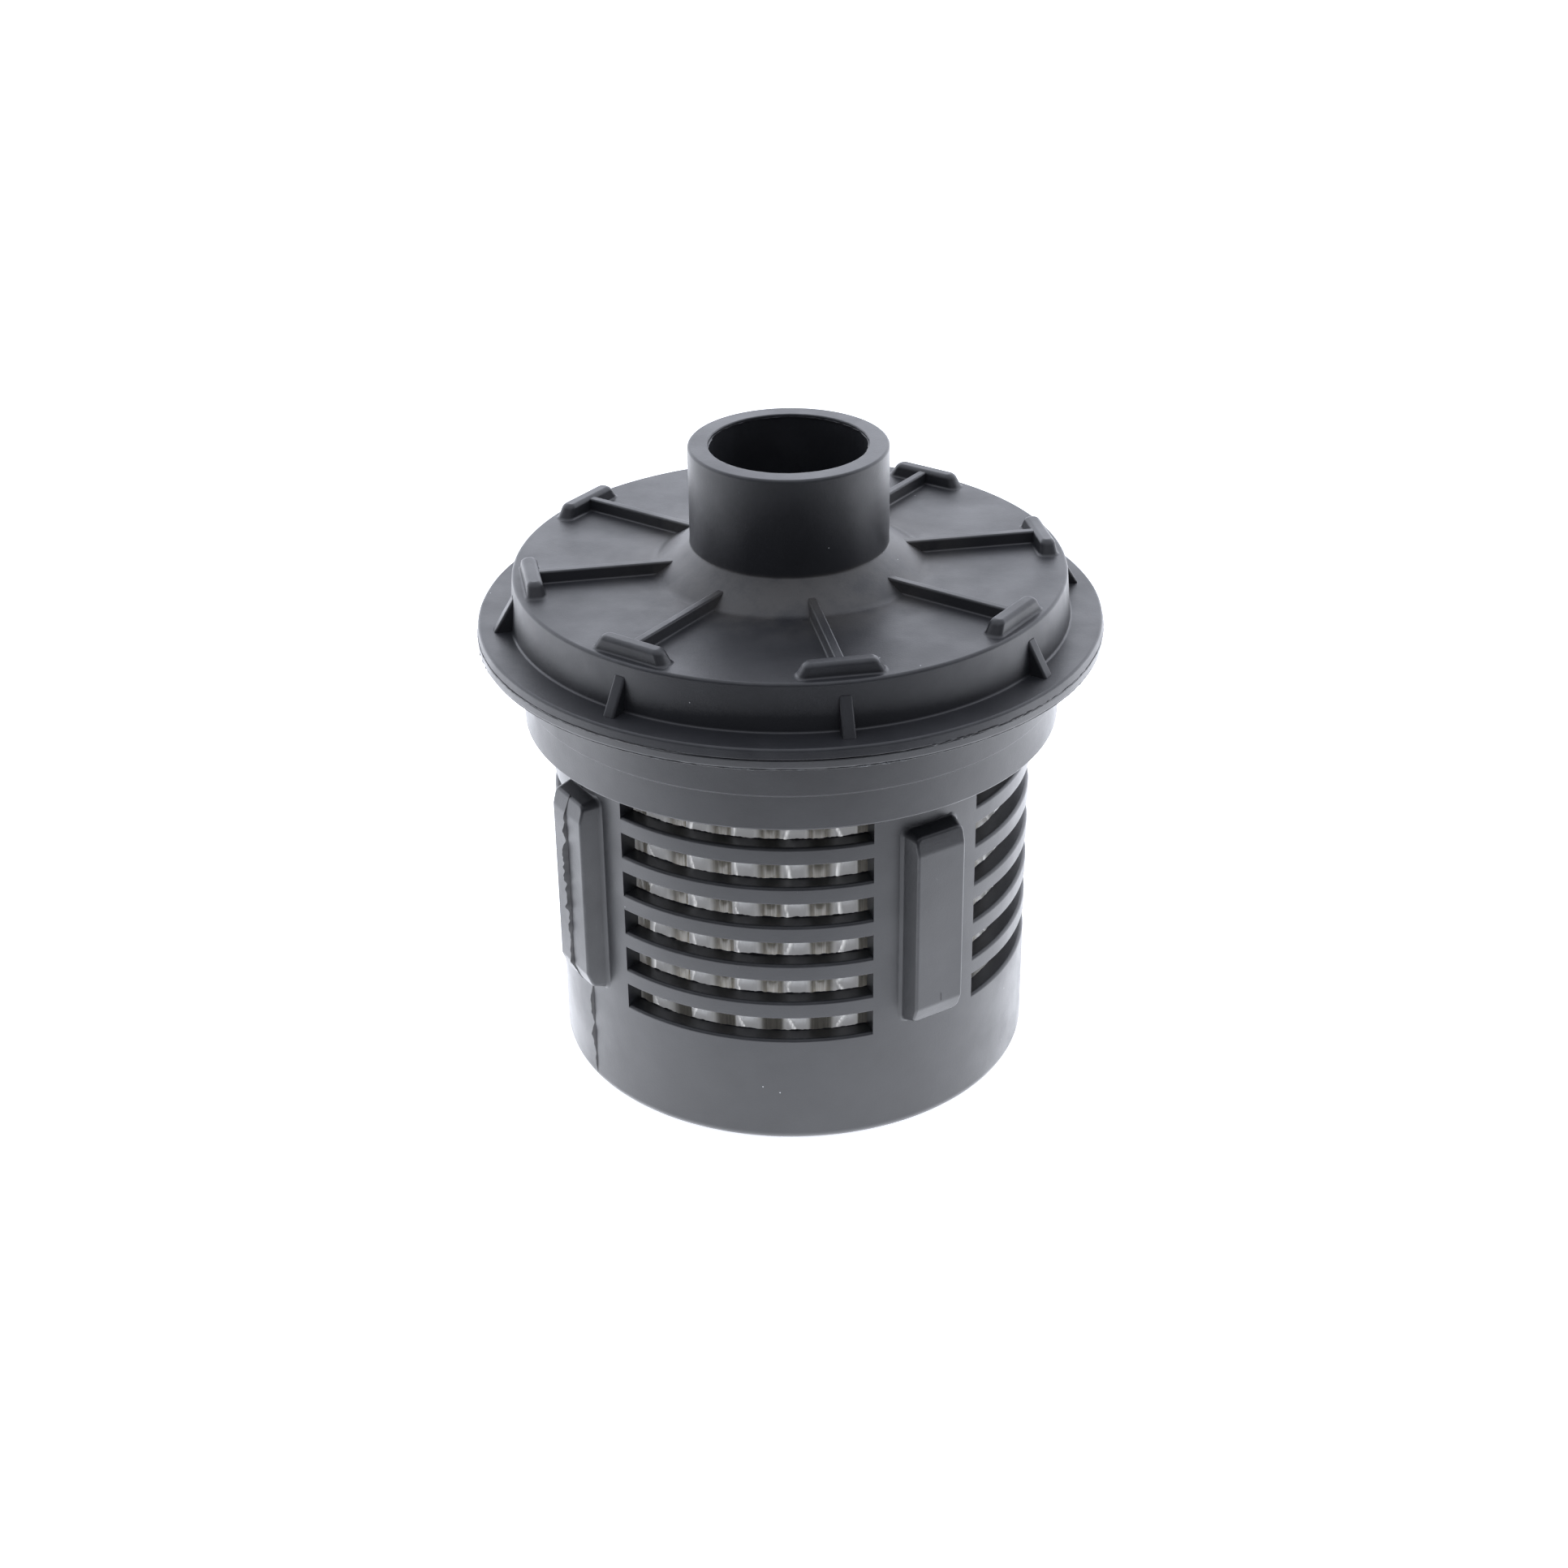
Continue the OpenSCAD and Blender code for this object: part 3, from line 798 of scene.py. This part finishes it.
def add_pad(shape, turn):
    half_y, half_z = PAD_W / 2, PAD_L / 2
    middle_z = PAD_Z + half_z
    line = half_z - PAD_BEVEL
    breaks = [-line - 0.5, -line - 0.2, -line, -line + 0.2] + [-line + 2 * line * k / 8 for k in range(1, 8)]
    breaks += [line - 0.2, line, line + 0.2, line + 0.5]
    foot, crown, draft, corner = 0.45, 0.40, 0.40, 1.15
    rings = [("wall", -0.6, foot, 0.0)]
    rings += [("wall", foot * (1 - math.cos(t)), foot * (1 - math.sin(t)), 0.0) for t in quarter_steps(4)]
    rings += [("face", -crown * (1 - math.sin(t)), -draft - crown * (1 - math.cos(t)), math.sin(2 * t))
              for t in quarter_steps(5)]
    layers = []
    for base, lift, grow, edge in rings:
        right = []
        for y, z in pad_outline(half_y + grow, half_z + grow, corner + 0.5 * grow, breaks):
            if base == "wall":
                x = math.sqrt(wall_outer_r(middle_z + z) ** 2 - y * y) + lift
            else:
                x = wall_outer_r(middle_z) + pad_height(z) + lift
            right.append((x, y, middle_z + z, edge))
        left = [(x, -y, z, edge) for x, y, z, edge in reversed(right)]
        layers.append(right + left)
    loops = add_loft(shape, layers, turned_place(turn), cap=False)
    top = loops[-1]
    count = len(top) // 2
    for k in range(count - 1):
        right_low, right_high = top[k], top[k + 1]
        left_high, left_low = top[-k - 2], top[-k - 1]
        shape.faces.new((right_low, right_high, left_high, left_low))


def add_floor_ribs(shape):
    """Boss and ribs on the floor that hold the support clear of collected water."""
    rib_h = 3.0
    rib_count = 8
    rib_top = FLOOR_T + rib_h
    boss = outline([(9, FLOOR_T - 0.3, 0), (9, rib_top, 0.3), (7, rib_top, 0.3), (7, FLOOR_T - 0.3, 0)])
    add_turned(shape, boss, even_columns(64))
    for i in range(rib_count):
        rib = block_layers(11.5, 0.8, rib_h, 0.0, 0.15, 0.1, 0.3, 0.2)
        add_loft(shape, rib, turned_place(360 * i / rib_count, 19.5, FLOOR_T))


def build_basket():
    shape = new_shape()
    build_basket_wall(shape)
    bmesh.ops.remove_doubles(shape, verts=shape.verts, dist=1e-7)
    bmesh.ops.recalc_face_normals(shape, faces=shape.faces)
    mesh = bpy.data.meshes.new("basket_wall")
    shape.to_mesh(mesh)
    shape.free()
    wall = bpy.data.objects.new("basket_wall", mesh)
    bpy.context.scene.collection.objects.link(wall)
    drilled = drill_drains(wall)

    shape = new_shape()
    shape.from_mesh(drilled)
    for turn in PAD_TURNS:
        add_pad(shape, turn)
    add_floor_ribs(shape)
    bpy.data.objects.remove(wall)
    return finish_shape(shape, "slotted_basket", BASKET_PLASTIC, ("basket",))


def drill_drains(wall):
    """Cuts the eight drain holes, each with a small countersink, and returns the new mesh."""
    shape = new_shape()
    sink = 0.35
    steps = 32
    for i in range(DRAIN_COUNT):
        turn = DRAIN_TURN + 360 * i / DRAIN_COUNT
        layers = []
        for z, r in ((-1.0, DRAIN_R + sink + 1.0), (sink, DRAIN_R), (FLOOR_T + 1, DRAIN_R)):
            layers.append([(r * math.cos(a), r * math.sin(a), z, 0) for a in even_columns(steps)])
        add_loft(shape, layers, turned_place(turn, DRAIN_RING_R))
    bmesh.ops.recalc_face_normals(shape, faces=shape.faces)
    mesh = bpy.data.meshes.new("drains")
    shape.to_mesh(mesh)
    shape.free()
    drains = bpy.data.objects.new("drains", mesh)
    bpy.context.scene.collection.objects.link(drains)
    cut = wall.modifiers.new("drains", "BOOLEAN")
    cut.operation = "DIFFERENCE"
    cut.solver = "EXACT"
    cut.object = drains
    depsgraph = bpy.context.evaluated_depsgraph_get()
    result = bpy.data.meshes.new_from_object(wall.evaluated_get(depsgraph))
    bpy.data.objects.remove(drains)
    return result


# ---------------------------------------------------------------- mould flash on the basket
def add_fin(shape, turn, low, high, surface, sway, tall, lean):
    """Thin torn fin that runs up the surface x = surface(z), swaying sideways."""
    step = 0.3
    count = max(6, int((high - low) / step))
    layers = []
    for i in range(count + 1):
        z = low + (high - low) * i / count
        ends = min(1.0, 6 * min(i, count - i) / count)
        side = sway * rough_line(turn, 0, z, 7.0) + 0.35 * sway * rough_line(turn, 5, z, 1.3)
        ragged = 0.62 + 0.75 * rough_line(turn, 9, z, 2.4) + 0.45 * rough_line(turn, 13, z, 0.7)
        height = tall * max(0.12, ragged) * ends + 0.02
        width = 0.10 + 0.05 * rough_line(turn, 17, z, 1.5)
        x = surface(z)
        layers.append([(x - 0.15, side - width, z, 0.0), (x - 0.15, side + width, z, 0.0),
                       (x + height * 0.6, side + 0.5 * width + 0.5 * lean * height, z, 0.2),
                       (x + height, side + lean * height, z, 0.5)])
    add_loft(shape, layers, turned_place(turn))


def build_flash():
    """Mould flash along the parting line: on two opposite pads, on the wall above and below them."""
    shape = new_shape()
    middle_z = PAD_Z + PAD_L / 2

    def face(z):
        return wall_outer_r(middle_z) + pad_height(z - middle_z)

    for turn in SEAM_TURNS:
        add_fin(shape, turn, 1.4, PAD_Z - 0.2, wall_outer_r, 0.12, 0.42, -0.55)
        add_fin(shape, turn, PAD_Z + 0.2, PAD_Z + PAD_L - 0.3, face, 0.30, 0.75, -0.60)
        add_fin(shape, turn, PAD_Z + PAD_L + 0.2, COLLAR_Z + 0.1, wall_outer_r, 0.10, 0.60, -0.5)
    nick_turn = 315.4
    nick_z = PAD_Z + 3.3
    nick_l = 1.5
    add_fin(shape, nick_turn, nick_z, nick_z + nick_l, face, 0.2, 0.22, 0.9)
    # The fins wear the darker, rougher inner plastic as painted shade, so they read as a dark shadow line along
    # the seam.
    return finish_shape(shape, "parting_line_flash", INNER_PLASTIC, (), 60)


def build_sill_burrs():
    """Torn skin along the inner edge of each sill, a tenth or two of a millimetre high."""
    shape = new_shape()
    steps = 150
    thick = 0.10
    for window in range(4):
        for i in range(SLOT_COUNT):
            low = SLOT_LOW + i * SLOT_PITCH
            r = wall_inner_r(low) + 0.02
            layers = []
            for k in range(steps + 1):
                angle = math.radians(90 * window - WINDOW_HALF + 2 * WINDOW_HALF * k / steps)
                rag = 0.10 + 0.16 * ring_noise(angle, r, low, 1.4) + 0.12 * ring_noise(angle, r, low + 50, 0.45)
                top = low + max(0.01, rag)
                cosine, sine = math.cos(angle), math.sin(angle)
                loop = [(r, low - 0.1, 0.0), (r + thick, low - 0.1, 0.0),
                        (r + 0.6 * thick, top, 0.35), (r, top, 0.35)]
                layers.append([(q * cosine, q * sine, z, edge) for q, z, edge in loop])
            add_loft(shape, layers)
    return finish_shape(shape, "sill_burrs", BASKET_PLASTIC, (), 60)


def build_flange_burrs():
    """Short torn threads along the lower corner of the basket's flange."""
    shape = new_shape()
    corner_r, corner_z = FLANGE_R - 0.42, FLANGE_LOW + 0.12

    def warp(angle, r, z, edge):
        present = max(0.0, ring_noise(angle, 45, 71, 12.0) + 0.12)
        ragged = max(0.0, 0.5 + ring_noise(angle, 45, 73, 1.0) + 0.5 * ring_noise(angle, 45, 79, 0.4))
        size = 0.03 + 0.40 * present * ragged
        r = corner_r + (r - corner_r) * (0.5 + size)
        z = corner_z + (z - corner_z) * (0.5 + size) - 0.10 * size
        return r, z, min(1.0, 1.6 * size)

    points = [(corner_r + 0.45 * math.cos(a), corner_z + 0.30 * math.sin(a), 0) for a in even_columns(8)]
    add_turned(shape, list(reversed(points)), even_columns(900), warp)
    return finish_shape(shape, "flange_burrs", BURR_PLASTIC, (), 180)


# ---------------------------------------------------------------- fluted film
def build_film():
    """Clear film pressed into upright flutes with flat crests, crumpled where it was rolled in."""
    flutes = 28
    across = 24
    rows = 120
    crest_r = FILM_HIGH.x - 0.12
    film_t = 0.18
    amplitude = 1.42
    low, high = FILM_LOW.z, FILM_HIGH.z
    columns = flutes * across

    def surface_r(angle, z):
        number = math.floor(flutes * angle / (2 * math.pi) + 0.5)
        wander = 0.012 * rough_line(number * 7.3, 0, z, 18.0)
        turn = flutes * (angle + wander)
        wave = math.tanh(1.9 * (math.cos(turn) + 0.22))
        on_crest = 0.5 + 0.5 * wave
        phase = math.remainder(turn, 2 * math.pi) / math.pi
        pleat = z / 7.0 + 3.0 * rough_line(number * 5.7, 2, z, 20.0)
        zigzag = 2 * abs(pleat - math.floor(pleat) - 0.5)
        fold = max(0.0, 1 - abs(phase + 0.42 - 0.34 * zigzag) / 0.11)
        buckle = rough_line(30 * math.cos(angle), 30 * math.sin(angle), 0.35 * z, 5.5)
        r = crest_r - amplitude + amplitude * wave - on_crest * (0.24 + 0.75 * fold - 0.14 * buckle)
        # The second value marks crests and folds; the film material takes its milky tone, alpha, painted glow and
        # painted fold highlight from it.
        return r, on_crest * (0.8 + 0.6 * fold)

    shape = new_shape()
    loops = []
    for side, order in ((film_t, range(rows + 1)), (0.0, range(rows, -1, -1))):
        for i in order:
            z = low + (high - low) * i / rows
            loop = []
            for k in range(columns):
                angle = 2 * math.pi * k / columns
                r, on_crest = surface_r(angle, z)
                r += side - film_t
                loop.append(add_vert(shape, r * math.cos(angle), r * math.sin(angle), z, on_crest))
            loops.append(loop)
    for i, loop in enumerate(loops):
        following = loops[(i + 1) % len(loops)]
        for j in range(columns):
            k = (j + 1) % columns
            shape.faces.new((loop[j], loop[k], following[k], following[j]))
    return finish_shape(shape, "fluted_film", hazy_film(), ("fluted_sleeve",), 35)


# ---------------------------------------------------------------- nodes that keep their CAD shape
def paint(node, material):
    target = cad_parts[node]
    target.data.materials.clear()
    target.data.materials.append(material)


def paint_cad_nodes():
    felt = fibre("pressed_felt", (0.34, 0.33, 0.30), (0.62, 0.60, 0.56), (900, 900, 1600), 0.10)
    wound = fibre("wound_fibre", (0.30, 0.27, 0.21), (0.72, 0.69, 0.60), (700, 700, 90), 0.25)
    net = net_plastic()
    for node in ("inlet_tube", "tube_plug", "upper_retainer", "lower_support"):
        paint(node, INNER_PLASTIC)
    for node in ("upper_felt", "lower_felt"):
        paint(node, felt)
    for node in ("inner_mesh", "spacer_mesh_inner", "spacer_mesh_outer"):
        paint(node, net)
    for node in ("fibre_inner", "fibre_middle", "fibre_outer"):
        paint(node, wound)
    paint("film_liner", clear_film("liner_film", 0.22, (0.86, 0.85, 0.80), 0.03))
    paint("film_seam_tape", seam_tape())


# ---------------------------------------------------------------- stage, light and camera
def build_stage():
    """Pale table top whose front edge lies just out of the camera's view."""
    size = 6.0
    front_edge = 0.185
    toward = Vector(TOWARD_CAMERA)
    across = toward.cross(Vector(UP))
    clearance = 0.02 * MM
    below = Vector(UP) * -clearance
    near, far = toward * front_edge + below, -toward * size + below
    corners = [near - across * size, far - across * size, far + across * size, near + across * size]
    mesh = bpy.data.meshes.new("floor")
    mesh.from_pydata([tuple(corner) for corner in corners], [], [(0, 1, 2, 3)])
    mesh.materials.append(pale_floor())
    floor = bpy.data.objects.new("floor", mesh)
    bpy.context.scene.collection.objects.link(floor)


def build_light():
    """Soft surround: a bright white wall behind the object, a dim room in front and a softer glow overhead."""
    world = bpy.data.worlds.new("soft_surround")
    world.use_nodes = True
    background = world.node_tree.nodes["Background"]
    g = Graph(world.node_tree, "Generated")
    behind, in_front, overhead = 3.1, 0.23, 1.45
    as_seen = 1.2
    level = g.fade(g.along(TOWARD_CAMERA), -0.75, 0.45, behind, in_front)
    glow = g.fade(g.along(UP), 0.42, 0.92, level, overhead)
    g.put(background.inputs["Strength"], g.fade(g.seen_directly(), 0.0, 1.0, glow, as_seen))
    background.inputs["Color"].default_value = (0.875, 0.905, 1.0, 1.0)
    bpy.context.scene.world = world


def build_camera():
    """Camera in front and a little to the right of a window, looking down at the drum."""
    distance = 340.62
    height = 225.45
    pan, tilt, roll = 0.1987, 28.579, -0.6631
    sensor_width = 36.0
    focal_length = 59.47
    data = bpy.data.cameras.new("camera")
    data.sensor_width = sensor_width
    data.lens = focal_length
    data.clip_start = 0.01
    data.clip_end = 50.0
    camera = bpy.data.objects.new("camera", data)
    place = Matrix.Translation(Vector(TOWARD_CAMERA) * distance * MM + Vector(UP) * height * MM)
    look = (Matrix.Rotation(math.radians(CAMERA_BEARING + pan), 4, "Z")
            @ Matrix.Rotation(math.radians(90 - tilt), 4, "X")
            @ Matrix.Rotation(math.radians(roll), 4, "Z"))
    camera.matrix_world = place @ look
    bpy.context.scene.collection.objects.link(camera)
    bpy.context.scene.camera = camera


build_cover()
build_weld()
build_basket()
build_flash()
build_sill_burrs()
build_flange_burrs()
build_film()
paint_cad_nodes()
build_stage()
build_light()
build_camera()
bpy.context.scene.view_settings.view_transform = "Standard"
